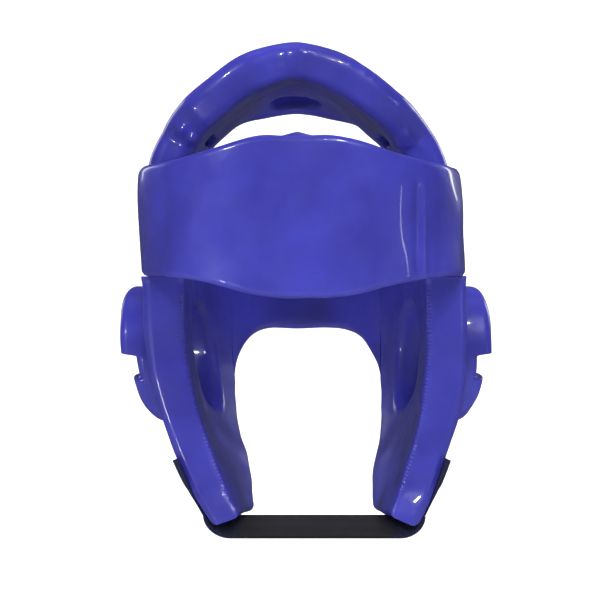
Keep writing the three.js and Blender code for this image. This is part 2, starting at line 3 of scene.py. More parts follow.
import bpy
import numpy as np
from bpy.props import FloatProperty, FloatVectorProperty, PointerProperty
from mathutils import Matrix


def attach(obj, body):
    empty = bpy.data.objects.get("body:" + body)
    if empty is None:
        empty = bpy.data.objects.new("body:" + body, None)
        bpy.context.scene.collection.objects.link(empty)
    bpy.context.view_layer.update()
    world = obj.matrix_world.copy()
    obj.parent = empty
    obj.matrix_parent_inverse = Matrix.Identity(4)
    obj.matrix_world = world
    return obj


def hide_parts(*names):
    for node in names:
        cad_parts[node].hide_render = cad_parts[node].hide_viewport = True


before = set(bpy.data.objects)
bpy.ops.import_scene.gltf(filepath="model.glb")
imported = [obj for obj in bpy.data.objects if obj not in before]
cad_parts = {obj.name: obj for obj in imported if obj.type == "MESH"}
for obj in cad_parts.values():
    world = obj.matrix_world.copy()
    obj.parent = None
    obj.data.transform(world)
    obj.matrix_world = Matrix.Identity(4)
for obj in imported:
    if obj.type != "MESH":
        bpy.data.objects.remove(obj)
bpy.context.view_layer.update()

bl_info = {
    "name": "Dipped foam head guard",
    "version": (1, 0, 0),
    "blender": (4, 5, 0),
    "location": "View3D > Sidebar > Head guard",
    "description": "Makes a dipped foam head guard piece by piece, and a plain stage for it",
    "category": "Object",
}

MM = 0.001

# Head space, in millimetres from the brow line
HALF_WIDTH = 70.5
BROW_DEPTH = 97.0
NAPE_DEPTH = 97.0
TEMPLE = 45.0
CROWN_HEIGHT = 129.3
BROW_ROUNDNESS = 2.5
NAPE_ROUNDNESS = 2.2
ARCH_POINT = 0.72
ARCH_SIDE = 8.0
ARCH_LENGTH = 3.0
ARCH_BLUNT = 0.58
ARCH_SWELL = 11.0
ARCH_SWELL_POWER = 5.2
ARCH_SWELL_TURN = 0.544
LEAN = 0.045

# Brow pad and liner
BROW_TOP = 87.0
BROW_BOTTOM = 1.0
BROW_TOP_DROP = 15.0
BROW_BOTTOM_RISE = 13.0
BROW_TOP_LEVEL = 0.2
BROW_LEVEL = 0.12
BROW_SEAT = 0.06
LINER_THICK = 5.0
LINER_SHOW = 2.6
LINER_PEAK = 2.6
LINER_PEAK_HALF = 12.0
LINER_FADE = 0.25
PAD_GAP = 0.1
FOLD_START = -70.0
FOLD_REACH = 12.0
FOLD_FADE = 10.0

# Crown arch
CROWN_FRONT = 45.0
CROWN_REAR = 64.0
CROWN_REAR_FALL = 3.0
CROWN_REAR_ROUND = 3.2
CROWN_REAR_BLUNT = 0.3
CROWN_ROUND_FROM = 20.0
CROWN_ROUND_TO = 60.0
LEG_FRONT = 20.0
LEG_REAR = 30.0
LEG_FOOT = BROW_BOTTOM + BROW_BOTTOM_RISE
CROWN_FRONT_ROUNDER = 1.5
BUMP_START = -14.0
BUMP_REACH = 10.0
RIM_PULL = 0.6
RIM_TURNS = 14
RIM_ACROSS = 2.2
RIM_DOWN = 3.0
CROWN_EDGES = {
    "arch": (0.0, 0.12, 0.25, 0.38, 0.45, 0.52, 1.0),
    "front": (0.0, 0.01, 0.06, 0.28, 0.66, 1.0, 1.0),
    "rear": (0.0, 0.06, 0.34, 0.80, 0.96, 1.0, 1.0),
}
VENTS = (
    {"arch": 0.0, "y": 44.0, "across": 31.0, "along": 17.0},
    {"arch": -0.43, "y": 8.0, "across": 7.0, "along": 22.0},
    {"arch": 0.43, "y": 8.0, "across": 7.0, "along": 22.0},
)

# Side pads and nape pad
JAW_DROP = 131.0
JAW_FOOT_RISE = 5.0
JAW_FOOT_TILT = 7.0
JAW_TILT_REACH = 26.0
NAPE_CORNER = 65.0
NAPE_TOP = 46.0
NAPE_TOP_ROUND = 8.0
NAPE_ARCH = 18.5
NAPE_ARCH_DROP = 33.0
NAPE_ARCH_POWER = 5.0
SIDE_TOP = BROW_BOTTOM + BROW_BOTTOM_RISE
JAW = {
    "level": (0.0, 0.30, 0.40, 0.53, 0.64, 0.74, 0.84, 0.93, 1.0),
    "width": (1.0, 0.975, 0.945, 0.890, 0.830, 0.770, 0.695, 0.620, 0.575),
    "front": (1.0, 1.0, 1.0, 1.02, 1.06, 1.11, 1.17, 1.24, 1.28),
    "rear": (1.0, 1.0, 0.99, 0.92, 0.69, 0.46, 0.22, -0.02, -0.18),
    "thick": (1.06, 1.06, 1.05, 1.03, 1.01, 0.98, 0.95, 0.91, 0.87),
    "turn": (0.0, 0.0, 0.0, 0.01, 0.06, 0.12, 0.15, 0.13, 0.12),
}
SIDE_WAVES = 1.2
NAPE_WAVES = 1.5

# Glue seam of the jaw flaps
SEAM_ROUND = 0.8
BEAD_HEIGHT = 0.8
BEAD_RADIUS = 1.1
BEAD_FROM = 4.0
BEAD_TO = 142.0
BEAD_FADE = 8.0
FRONT_COLUMNS = 300

# Ear hole and ear guards
EAR_BACK = 18.0
EAR_DROP = 33.0
EAR_HALF_LENGTH = 22.0
EAR_HALF_HEIGHT = 29.0
EAR_TIP = 0.30
EAR_TIP_TURN = math.radians(-60)
EAR_TIP_SHARP = 8.0
GUARD_BAND = 13.0
GUARD_UPPER_RISE = 19.1
GUARD_LOWER_RISE = 15.1
GROOVE_RISE = 10.6
GROOVE_BOTTOM = 12.5
GROOVE_STEP = 2.0
GUARD_ROUND = 5.0
GUARD_FOOT_ROUND = 0.4
FILLET = 1.5
FILLET_HEIGHT = 2.4

# Chin strap
STRAP_LIFT = 0.5
STRAP_START = 92.0
STRAP_FLARE = 8.0
STRAP_FRONT = 52.0
STRAP_DROP_FRONT = 6.0
STRAP_DROP_REAR = 1.5
STRAP_ROUND = 0.8

# Weave of the strap, in metres
RIB_PITCH = 0.0019
PICK_PITCH = 0.0011
STRAP_ENDS = (0.055, 0.062)
# Painted highlight: a lighter colour mixed into the strap where its ribs and picks rise
PAINTED_RIB_HIGHLIGHT = (0.013, 0.014, 0.017)

# Stage, in metres
FLOOR_LEVEL = -0.34
FLOOR_FRONT = -3.0
FLOOR_HALF = 4.0
BEND_START = 1.6
BEND_RADIUS = 0.8
BACKDROP_TOP = 3.5
LIGHT_AIM = (0.0, 0.0, -0.12)
CAMERA_SIDE = 0.0032
CAMERA_DISTANCE = 1.1
CAMERA_LENS = 108.9
CAMERA_SENSOR = 36.0


class GuardSizes(bpy.types.PropertyGroup):
    foam: FloatProperty(
        name="Foam", description="Thickness of a foam panel", default=0.023, unit="LENGTH")
    edge_round: FloatProperty(
        name="Edge rounding", description="Radius of a free foam edge", default=0.006, unit="LENGTH")
    joint_round: FloatProperty(
        name="Joint rounding", description="Radius of an edge where two panels are glued",
        default=0.0007, unit="LENGTH")
    brow_round: FloatProperty(
        name="Brow rounding", description="Radius of the brow pad's outer edges",
        default=0.0035, unit="LENGTH")
    waviness: FloatProperty(
        name="Waviness", description="Height of the slow waves that dipping leaves on the foam",
        default=0.0004, unit="LENGTH")
    bead_pitch: FloatProperty(
        name="Bead pitch", description="Distance between the beads of the glue line on the jaw flaps",
        default=0.0022, unit="LENGTH")
    strap_width: FloatProperty(
        name="Strap width", description="Width of the elastic chin strap", default=0.038, unit="LENGTH")
    strap_thick: FloatProperty(
        name="Strap thickness", description="Thickness of the elastic", default=0.0016, unit="LENGTH")


class GuardFinish(bpy.types.PropertyGroup):
    skin: FloatVectorProperty(
        name="Skin", description="Colour of the dipped skin", subtype="COLOR", size=3,
        default=(0.040, 0.040, 0.350))
    skin_deep: FloatVectorProperty(
        name="Deep skin", description="Colour of the skin where the dip is thicker", subtype="COLOR",
        size=3, default=(0.027, 0.026, 0.235))
    elastic: FloatVectorProperty(
        name="Elastic", description="Colour of the chin strap", subtype="COLOR", size=3,
        default=(0.008, 0.008, 0.009))
    elastic_end: FloatVectorProperty(
        name="Elastic ends", description="Colour of the strap where it lies on the flaps",
        subtype="COLOR", size=3, default=(0.010, 0.013, 0.070))
    floor: FloatVectorProperty(
        name="Floor", description="Colour of the stage", subtype="COLOR", size=3,
        default=(0.90, 0.90, 0.90))


def ease(share):
    """Smooth step from 0 to 1: three times the square less twice the cube."""
    t = np.clip(share, 0.0, 1.0)
    return t * t * (3.0 - 2.0 * t)


def column(table, key, name, at):
    """Reads a table between its rows along cubic curves. Their tangents are the harmonic means of
    the two slopes beside a row, or 0 at a turning point and at the ends."""
    keys = np.asarray(table[key])
    values = np.asarray(table[name])
    slopes = np.diff(values) / np.diff(keys)
    before, after = slopes[:-1], slopes[1:]
    same = before * after > 0
    inner = np.where(same, 2.0 * before * after / np.where(same, before + after, 1.0), 0.0)
    tangent = np.concatenate(([0.0], inner, [0.0]))
    place = np.clip(at, keys[0], keys[-1])
    i = np.clip(np.searchsorted(keys, place) - 1, 0, len(keys) - 2)
    span = keys[i + 1] - keys[i]
    t = (place - keys[i]) / span
    start = (1 + 2 * t) * (1 - t) ** 2 * values[i] + t * (1 - t) ** 2 * span * tangent[i]
    end = t * t * (3 - 2 * t) * values[i + 1] + t * t * (t - 1) * span * tangent[i + 1]
    return start + end


def evenly(curve, start, stop, pieces=4000):
    """Returns a function that turns a share of a curve's length into the curve's parameter."""
    t = np.linspace(start, stop, pieces + 1)
    steps = np.linalg.norm(np.diff(curve(t), axis=0), axis=1)
    length = np.concatenate(([0.0], np.cumsum(steps)))
    return lambda share: np.interp(np.asarray(share) * length[-1], length, t)


def plan(angle):
    """Plan of the head space, an egg of two superellipses: x is the half width times the sine to
    the power 2 / roundness, and y goes from the temples by the reach times the cosine likewise."""
    forward, sideways = np.cos(angle), np.sin(angle)
    power = 2.0 / np.where(forward > 0, BROW_ROUNDNESS, NAPE_ROUNDNESS)
    reach = np.where(forward > 0, BROW_DEPTH - TEMPLE, NAPE_DEPTH + TEMPLE)
    x = HALF_WIDTH * np.sign(sideways) * np.abs(sideways) ** power
    y = -TEMPLE - np.sign(forward) * reach * np.abs(forward) ** power
    return np.stack([x, y], axis=-1)


def plan_angle(y):
    """The plan angle at which the head space has a given y, behind the temples."""
    share = np.clip((y + TEMPLE) / (NAPE_DEPTH + TEMPLE), 0.0, 1.0)
    return math.pi - np.arccos(share ** (NAPE_ROUNDNESS / 2))


def half_width(y):
    """Half the width of the head space: (1 - share ^ roundness) ^ (1 / roundness)."""
    front = y < -TEMPLE
    roundness = np.where(front, BROW_ROUNDNESS, NAPE_ROUNDNESS)
    reach = np.where(front, BROW_DEPTH - TEMPLE, NAPE_DEPTH + TEMPLE)
    share = np.clip(np.abs(y + TEMPLE) / reach, 0.0, 1.0)
    return HALF_WIDTH * (1.0 - share ** roundness) ** (1.0 / roundness)


def blunted(pointed, blunt):
    """A share with its point rounded: the root of what its square gains by the rounding."""
    return np.sqrt(((pointed + blunt) ** 2 - blunt ** 2) / (1.0 + 2.0 * blunt))


def arch_across(height):
    """Half width of the arch as a share of its foot's: a power curve with its point rounded, and
    swollen by a polynomial that is positive over the shoulders and negative above them."""
    share = np.clip(height, 0.0, 1.0)
    pointed = (1.0 - share ** ARCH_SIDE) ** (1.0 / ARCH_POINT)
    across = blunted(pointed, ARCH_BLUNT)
    swell = share ** ARCH_SWELL_POWER * (1.0 - share) * (ARCH_SWELL_TURN - share)
    return across * (1.0 + ARCH_SWELL * swell)


def arch_along(z):
    """What is left of the head space's length at a height above the brow line."""
    left = 1.0 - np.clip(z / CROWN_HEIGHT, 0.0, 1.0) ** ARCH_SIDE
    return left ** (1.0 / ARCH_LENGTH)


def jaw(z, name):
    """Reads a column of the jaw table at a height below the brow line."""
    return column(JAW, "level", name, -z / JAW_DROP)


def side_front(z):
    """Place of a side pad's front edge."""
    return -TEMPLE * jaw(z, "front")


def side_rear(z):
    """Place of a side pad's rear edge."""
    return NAPE_CORNER * jaw(z, "rear")


def band_face(angle, z):
    """Inner face of the brow and nape panels: the plan, narrowed with height and along the jaw."""
    xy = plan(angle)
    across = arch_across(z / CROWN_HEIGHT) * jaw(z, "width")
    return np.stack(np.broadcast_arrays(xy[..., 0] * across, xy[..., 1] * arch_along(z), z), axis=-1)


def side_face(side, y, z):
    """Inner face of a side pad: the half width, narrowed likewise and turned in behind its front."""
    turned_in = jaw(z, "turn") * np.maximum(0.0, y - side_front(z))
    across = arch_across(z / CROWN_HEIGHT) * jaw(z, "width")
    x = half_width(y / arch_along(z)) * across - turned_in
    return np.stack(np.broadcast_arrays(side * x, y, z), axis=-1)


def ridge(y):
    """Height of the crown's inner face over the middle line: the crown's height times a power of
    1 less a power of the share of the reach, with powers of their own in front and behind."""
    front = y < 0
    share = np.clip(np.abs(y) / np.where(front, BROW_DEPTH, NAPE_DEPTH), 0.0, 1.0)
    fall = share ** np.where(front, ARCH_LENGTH, CROWN_REAR_FALL)
    return CROWN_HEIGHT * (1.0 - fall) ** (1.0 / np.where(front, ARCH_SIDE, CROWN_REAR_ROUND))


def crown_across(y, height):
    """Half width of the crown as a share of the head space's: the pointed arch, which turns by a
    smooth step into a round one towards the rear."""
    round_arch = blunted(1.0 - np.clip(height, 0.0, 1.0) ** ARCH_SIDE, CROWN_REAR_BLUNT)
    share = ease((y - CROWN_ROUND_FROM) / (CROWN_ROUND_TO - CROWN_ROUND_FROM))
    return arch_across(height) + (round_arch - arch_across(height)) * share


def arch_curve(fall):
    """Half arch over the middle of the head: the height is 1 less the parameter squared."""
    height = 1.0 - fall ** 2
    return np.stack([HALF_WIDTH * arch_across(height), CROWN_HEIGHT * height], axis=-1)


ARCH_EVEN = evenly(arch_curve, 0.0, math.sqrt(1.0 - LEG_FOOT / CROWN_HEIGHT))


def crown_face(arch, y):
    """Inner face of the crown, arch from -1 to 1, ear to ear: the half arch of the middle of the
    head, scaled to the ridge's height at y."""
    height = arch_curve(ARCH_EVEN(np.abs(arch)))[..., 1]
    rise = np.clip((height - LEG_FOOT) / (CROWN_HEIGHT - LEG_FOOT), 0.0, 1.0)
    z = LEG_FOOT + (ridge(y) - LEG_FOOT) * rise
    x = np.sign(arch) * half_width(y) * crown_across(y, z / ridge(y))
    return np.stack(np.broadcast_arrays(x, y, z), axis=-1)


def raised(face, a, b, steps, out):
    """Points at a height over a face, along its normal: the cross product of the face's two
    differences over small steps, turned away from the middle of the head."""
    along_a = face(a + steps[0], b) - face(a - steps[0], b)
    along_b = face(a, b + steps[1]) - face(a, b - steps[1])
    normal = np.cross(along_a, along_b)
    normal /= np.linalg.norm(normal, axis=-1, keepdims=True)
    point = face(a, b)
    outward = point.copy()
    outward[..., 2] = np.maximum(0.0, point[..., 2])
    normal *= np.where(np.sum(normal * outward, axis=-1, keepdims=True) < 0, -1.0, 1.0)
    return point + normal * np.asarray(out)[..., None]


def over_band(angle, z, out):
    return raised(band_face, angle, z, (0.01, 0.5), out)


def over_crown(arch, y, out):
    return raised(crown_face, arch, y, (0.004, 0.5), out)


def over_side(side, y, z, share, extra, foam):
    """Points over the inner face of a side pad, at a level distance square to it: a share of the
    foam's thickness there and an extra distance."""
    run = side_face(side, y + 0.5, z) - side_face(side, y - 0.5, z)
    normal = np.stack([run[..., 1], -run[..., 0], np.zeros_like(run[..., 0])], axis=-1)
    normal *= side / np.linalg.norm(normal, axis=-1, keepdims=True)
    distance = share * foam * jaw(z, "thick") + extra
    return side_face(side, y, z) + normal * distance[..., None]


def section(length, thick, rounds, inset, counts):
    """Closed cross-section of a panel: a rectangle, length by thick, with quarter circles at its
    corners, set in all round by inset. rounds are the radii at the start's inner, the end's inner,
    the end's outer and the start's outer corner. Returns distances along and heights."""
    low, high = inset, length - inset
    floor, roof = inset, thick - inset
    start_in, end_in, end_out, start_out = [np.maximum(r - inset, 0.1) for r in rounds]
    face = np.linspace(0.0, 1.0, counts["face"])
    wall = np.linspace(0.0, 1.0, counts["wall"])
    turn = np.linspace(0.0, math.pi / 2, counts["arc"] + 2)[1:-1]
    sin, cos = np.sin(turn), np.cos(turn)
    zero = 0.0 * (high + roof)
    parts = [
        (low + start_in + face * (high - low - start_in - end_in), floor + zero + 0 * face),
        (high - end_in + end_in * sin, floor + end_in - end_in * cos),
        (high + zero + 0 * wall, floor + end_in + wall * (roof - floor - end_in - end_out)),
        (high - end_out + end_out * cos, roof - end_out + end_out * sin),
        (high - end_out - face * (high - low - end_out - start_out), roof + zero + 0 * face),
        (low + start_out - start_out * sin, roof - start_out + start_out * cos),
        (low + zero + 0 * wall, roof - start_out - wall * (roof - floor - start_out - start_in)),
        (low + start_in - start_in * cos, floor + start_in - start_in * sin),
    ]
    rows = zero.shape[0]
    along = np.concatenate([np.broadcast_to(d, (rows, d.shape[-1])) for d, _ in parts], axis=1)
    height = np.concatenate([np.broadcast_to(h, (rows, h.shape[-1])) for _, h in parts], axis=1)
    return along, height


def panel(place, thick, rounds, end_round, columns, counts):
    """Panel as a row of closed cross-sections from one end to the other. place(u, v, out) gives
    points from shares of the length and the width. The sections shrink along a quarter circle at
    both ends. A rounding may be a function of u."""
    steps = np.linspace(0.0, 1.0, 41)
    middle = place(steps, np.full_like(steps, 0.5), np.zeros_like(steps))
    total = np.linalg.norm(np.diff(middle, axis=0), axis=1).sum()
    turn = np.linspace(0.0, math.pi / 2, 6)
    end = end_round * (1.0 - np.cos(turn)) / total
    inset = end_round * (1.0 - np.sin(turn))
    inner = np.linspace(end[-1], 1.0 - end[-1], columns)[1:-1]
    u = np.concatenate([end, inner, 1.0 - end[::-1]])[:, None]
    inset = np.concatenate([inset, np.zeros(len(inner)), inset[::-1]])[:, None]
    across = place(u, steps[None, :], np.zeros((1, 1)))
    width = np.linalg.norm(np.diff(across, axis=1), axis=2).sum(axis=1)[:, None]
    rounds = [r(u) if callable(r) else r for r in rounds]
    along, height = section(width, thick, rounds, inset, counts)
    return place(u, along / width, height)


def grid_normals(points, wrap_rows):
    """Unit normals of a grid of points: the cross product of its two central differences."""
    if wrap_rows:
        down = np.roll(points, -1, axis=0) - np.roll(points, 1, axis=0)
    else:
        down = np.gradient(points, axis=0)
    round_it = np.roll(points, -1, axis=1) - np.roll(points, 1, axis=1)
    normal = np.cross(down, round_it)
    length = np.linalg.norm(normal, axis=-1, keepdims=True)
    return normal / np.maximum(length, 1e-9)


def signed_volume(points, faces):
    """Six times the volume inside a closed mesh, above 0 where its faces turn outward."""
    a, b, c, d = (points[faces[:, k]] for k in range(4))
    return (a * (np.cross(b, c) + np.cross(c, d))).sum()


def settle(points):
    """Leans the guard sideways with height and lowers it to its origin, still in millimetres."""
    placed = points.copy()
    placed[..., 0] += LEAN * (CROWN_HEIGHT - points[..., 2])
    placed[..., 2] -= CROWN_HEIGHT
    return placed


def waves(points, height):
    """Slow waves of the dipped skin: the mean of six sines along fixed directions."""
    rows = (
        (0.11, 0.05, 0.07, 0.3), (-0.06, 0.12, 0.05, 1.9), (0.04, -0.07, 0.15, 4.1),
        (0.19, 0.11, -0.09, 2.2), (-0.13, 0.17, 0.14, 5.3), (0.09, -0.21, 0.12, 0.9),
    )
    total = sum(np.sin(points @ np.array(row[:3]) + row[3]) for row in rows)
    return height * total / len(rows) * 2.0


def bumps(points, rows):
    """Round swellings of the crown's front: height times a bell curve of the distance from each
    centre in x and z, faded out backwards by a smooth step."""
    total = np.zeros(points.shape[:-1])
    for row in rows:
        away = np.hypot(points[..., 0] - row["x"], points[..., 2] - row["z"]) / row["radius"]
        total += row["height"] * np.exp(-away ** 2)
    return total * ease((BUMP_START - points[..., 1]) / BUMP_REACH)


def smooth(mesh):
    """Shades every face of a mesh smooth."""
    mesh.polygons.foreach_set("use_smooth", [True] * len(mesh.polygons))


def make_object(name, points, wrap_rows, relief=None, uv=None):
    """Closed mesh from a grid of sections, each closed round, in millimetres. The rows close on
    each other, or the first and the last get a flat cap. relief gives heights to add along the
    normals."""
    placed = settle(points)
    rows, count = placed.shape[:2]
    normals = grid_normals(placed, wrap_rows)
    index = np.arange(rows * count).reshape(rows, count)
    below = np.roll(index, -1, axis=0) if wrap_rows else index[1:]
    above = index if wrap_rows else index[:-1]
    faces = np.stack(
        [above, below, np.roll(below, -1, axis=1), np.roll(above, -1, axis=1)], axis=-1)
    faces = faces.reshape(-1, 4)
    flat = placed.reshape(-1, 3)
    outward = signed_volume(flat, faces) > 0
    if relief is not None:
        sign = 1.0 if outward else -1.0
        placed = placed + normals * (sign * relief(placed))[..., None]
        flat = placed.reshape(-1, 3)
    if not outward:
        faces = faces[:, ::-1]
    polygons = faces.tolist()
    if not wrap_rows:
        first, last = index[0].tolist(), index[-1].tolist()
        polygons += [first, last[::-1]] if outward else [first[::-1], last]
    mesh = bpy.data.meshes.new(name)
    mesh.from_pydata((flat * MM).tolist(), [], polygons)
    smooth(mesh)
    if uv is not None:
        layer = mesh.uv_layers.new(name="weave")
        corner = np.empty(len(mesh.loops), dtype=np.int32)
        mesh.loops.foreach_get("vertex_index", corner)
        layer.data.foreach_set("uv", uv.reshape(-1, 2)[corner].ravel())
    mesh.update()
    piece = bpy.data.objects.new(name, mesh)
    bpy.context.collection.objects.link(piece)
    return piece


def node_input(shader, name, value):
    shader.inputs[name].default_value = value


def add_noise(tree, source, scale, detail, roughness=0.5):
    noise = tree.nodes.new("ShaderNodeTexNoise")
    node_input(noise, "Scale", scale)
    node_input(noise, "Detail", detail)
    node_input(noise, "Roughness", roughness)
    tree.links.new(source, noise.inputs["Vector"])
    return noise.outputs["Fac"]


def add_range(tree, source, low, high, start, stop):
    """Maps a value from low..high to start..stop."""
    node = tree.nodes.new("ShaderNodeMapRange")
    for name, value in zip(("From Min", "From Max", "To Min", "To Max"), (low, high, start, stop)):
        node_input(node, name, value)
    tree.links.new(source, node.inputs["Value"])
    return node.outputs["Result"]


def add_math(tree, operation, first, second):
    node = tree.nodes.new("ShaderNodeMath")
    node.operation = operation
    for socket, value in zip(node.inputs, (first, second)):
        if isinstance(value, (int, float)):
            socket.default_value = value
        else:
            tree.links.new(value, socket)
    return node.outputs["Value"]


def add_mix(tree, share, first, second):
    node = tree.nodes.new("ShaderNodeMix")
    node.data_type = "RGBA"
    colours = [socket for socket in node.inputs if socket.type == "RGBA"]
    for socket, value in zip(colours, (first, second)):
        if isinstance(value, bpy.types.NodeSocket):
            tree.links.new(value, socket)
        else:
            socket.default_value = (*value, 1.0)
    tree.links.new(share, node.inputs["Factor"])
    return next(socket for socket in node.outputs if socket.type == "RGBA")


def add_bump(tree, height, strength, distance, before=None):
    node = tree.nodes.new("ShaderNodeBump")
    node_input(node, "Strength", strength)
    node_input(node, "Distance", distance)
    tree.links.new(height, node.inputs["Height"])
    if before is not None:
        tree.links.new(before, node.inputs["Normal"])
    return node.outputs["Normal"]


def new_material(name):
    material = bpy.data.materials.new(name)
    material.use_nodes = True
    tree = material.node_tree
    return material, tree, tree.nodes["Principled BSDF"]


def dipped_skin(finish):
    """Glossy dipped vinyl over foam: slow colour drift, fine mottling, slow swells with an orange
    peel over them, softly uneven gloss and a clear coat. All foam pieces share it."""
    material = bpy.data.materials.get("dipped_skin")
    if material:
        return material
    material, tree, shader = new_material("dipped_skin")
    place = tree.nodes.new("ShaderNodeTexCoord").outputs["Object"]
    drift = add_noise(tree, place, 22.0, 3.0)
    colour = add_mix(tree, add_range(tree, drift, 0.35, 0.65, 0.0, 1.0), finish.skin, finish.skin_deep)
    mottle = add_range(tree, add_noise(tree, place, 170.0, 4.0, 0.6), 0.3, 0.75, 0.0, 0.3)
    colour = add_mix(tree, mottle, colour, tuple(0.85 * c for c in finish.skin_deep))
    tree.links.new(colour, shader.inputs["Base Color"])
    gloss = add_noise(tree, place, 60.0, 4.0, 0.6)
    tree.links.new(add_range(tree, gloss, 0.3, 0.7, 0.28, 0.42), shader.inputs["Roughness"])
    node_input(shader, "Specular IOR Level", 0.4)
    node_input(shader, "Coat Weight", 0.5)
    node_input(shader, "Coat Roughness", 0.05)
    swell = add_bump(tree, add_noise(tree, place, 45.0, 2.0), 0.5, 0.0012)
    peel = add_bump(tree, add_noise(tree, place, 420.0, 2.0), 0.16, 0.0004, swell)
    tree.links.new(peel, shader.inputs["Normal"])
    return material


def woven_elastic(finish):
    """Black elastic, woven: ribs along the strap, crossed by fine picks, with a matt fuzz and a painted
    highlight on the crests of the weave. The pattern follows the strap by its own map, in metres along
    and across."""
    material, tree, shader = new_material("woven_elastic")
    node = tree.nodes.new("ShaderNodeUVMap")
    node.uv_map = "weave"
    split = tree.nodes.new("ShaderNodeSeparateXYZ")
    tree.links.new(node.outputs["UV"], split.inputs[0])
    along, across = split.outputs["X"], split.outputs["Y"]
    rib = add_math(tree, "SINE", add_math(tree, "MULTIPLY", across, 2 * math.pi / RIB_PITCH), 0.0)
    pick = add_math(tree, "SINE", add_math(tree, "MULTIPLY", along, 2 * math.pi / PICK_PITCH), 0.0)
    ribs, picks = add_math(tree, "MULTIPLY", rib, 0.7), add_math(tree, "MULTIPLY", pick, 0.3)
    woven = add_math(tree, "ADD", ribs, picks)
    ends = add_range(tree, along, *STRAP_ENDS, 0.0, 1.0)
    place = tree.nodes.new("ShaderNodeTexCoord").outputs["Object"]
    wear = add_range(tree, add_noise(tree, place, 120.0, 3.0), 0.3, 0.7, 0.0, 0.5)
    base = add_mix(tree, ends, finish.elastic_end, finish.elastic)
    # Painted highlight: where the weave rises, the colour goes up to 45% of the way to the highlight
    # colour
    high = add_range(tree, woven, -1.0, 1.0, 0.0, 0.45)
    colour = add_mix(tree, high, base, PAINTED_RIB_HIGHLIGHT)
    colour = add_mix(tree, wear, colour, finish.elastic)
    tree.links.new(colour, shader.inputs["Base Color"])
    node_input(shader, "Roughness", 0.85)
    node_input(shader, "Specular IOR Level", 0.2)
    node_input(shader, "Sheen Weight", 0.04)
    node_input(shader, "Sheen Roughness", 0.5)
    fuzz = add_bump(tree, add_noise(tree, place, 1500.0, 2.0), 0.3, 0.0002)
    tree.links.new(add_bump(tree, woven, 0.7, 0.0003, fuzz), shader.inputs["Normal"])
    return material


def dress_foam(piece, node, finish):
    """Gives a foam piece its skin, hangs it under the root body and hides the imported part of the node
    it stands for.
    """
    piece.data.materials.append(dipped_skin(finish))
    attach(piece, "root")
    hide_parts(node)


BROW_ANGLE = float(plan_angle(-LEG_FRONT))
BROW_EVEN = evenly(plan, -BROW_ANGLE, BROW_ANGLE)


def brow_levels(angle):
    """Heights of the brow pad's edges: the top falls and the bottom rises by smooth steps of the
    share of the half width."""
    share = np.abs(plan(angle)[..., 0]) / HALF_WIDTH
    top = BROW_TOP - BROW_TOP_DROP * ease((share - BROW_TOP_LEVEL) / (1.0 - BROW_TOP_LEVEL))
    bottom = BROW_BOTTOM + BROW_BOTTOM_RISE * ease((share - BROW_LEVEL) / (1.0 - BROW_LEVEL))
    return bottom, top


TEMPLE_FOLDS = (
    {"x": 68.0, "low": -118.0, "high": -60.0, "half": 2.4, "height": -1.2},
    {"x": 71.5, "low": -120.0, "high": -62.0, "half": 1.7, "height": 0.8},
    {"x": 75.0, "low": -121.0, "high": -92.0, "half": 1.6, "height": -0.5},
    {"x": -72.0, "low": -118.0, "high": -60.0, "half": 3.4, "height": -0.5},
)


def folds(points, rows):
    """Upright soft folds: height times a bell curve across and a smooth window upwards."""
    x, y, z = points[..., 0], points[..., 1], points[..., 2]
    outside = ease((FOLD_START - y) / FOLD_REACH)
    total = np.zeros(x.shape)
    for row in rows:
        window = ease((z - row["low"]) / FOLD_FADE) * ease((row["high"] - z) / FOLD_FADE)
        total += row["height"] * window * np.exp(-((x - row["x"]) / row["half"]) ** 2)
    return total * outside


class GUARD_OT_brow_pad(bpy.types.Operator):
    """Make the brow pad, a lens-shaped panel across the forehead"""
    bl_idname = "guard.brow_pad"
    bl_label = "Brow pad"

    def execute(self, context):
        sizes, finish = context.scene.guard_sizes, context.scene.guard_finish
        foam, wave = sizes.foam / MM, sizes.waviness / MM
        joint, edge = sizes.joint_round / MM, sizes.brow_round / MM

        def place(u, v, out):
            angle = BROW_EVEN(u)
            bottom, top = brow_levels(angle)
            return over_band(angle, bottom + (top - bottom) * v, out + LINER_THICK + PAD_GAP)

        def relief(points):
            return waves(points, wave) + folds(points, TEMPLE_FOLDS)

        def bottom_round(u):
            free = ease((np.minimum(u, 1.0 - u) - BROW_SEAT) / BROW_SEAT)
            return joint + (edge - joint) * free

        points = panel(place, foam - LINER_THICK - PAD_GAP, (joint, joint, edge, bottom_round),
                       joint, 260, {"face": 70, "wall": 9, "arc": 7})
        piece = make_object("brow_pad_skin", points, False, relief)
        dress_foam(piece, "brow_pad", finish)
        return {"FINISHED"}


class GUARD_OT_brow_liner(bpy.types.Operator):
    """Make the thin liner behind the brow pad, with the small peak of its top edge"""
    bl_idname = "guard.brow_liner"
    bl_label = "Brow liner"

    def execute(self, context):
        sizes, finish = context.scene.guard_sizes, context.scene.guard_finish
        edge = sizes.joint_round / MM

        def place(u, v, out):
            angle = BROW_EVEN(u)
            bottom, top = brow_levels(angle)
            away = np.abs(plan(angle)[..., 0]) / LINER_PEAK_HALF
            peak = LINER_PEAK * np.maximum(0.0, 1.0 - away)
            show = LINER_SHOW * ease(np.minimum(u, 1.0 - u) / LINER_FADE)
            return over_band(angle, bottom + (top + show + peak - bottom) * v, out)

        points = panel(place, LINER_THICK, (edge,) * 4, edge, 240, {"face": 36, "wall": 3, "arc": 4})
        piece = make_object("brow_liner_skin", points, False, lambda at: waves(at, 0.1))
        dress_foam(piece, "brow_liner", finish)
        return {"FINISHED"}


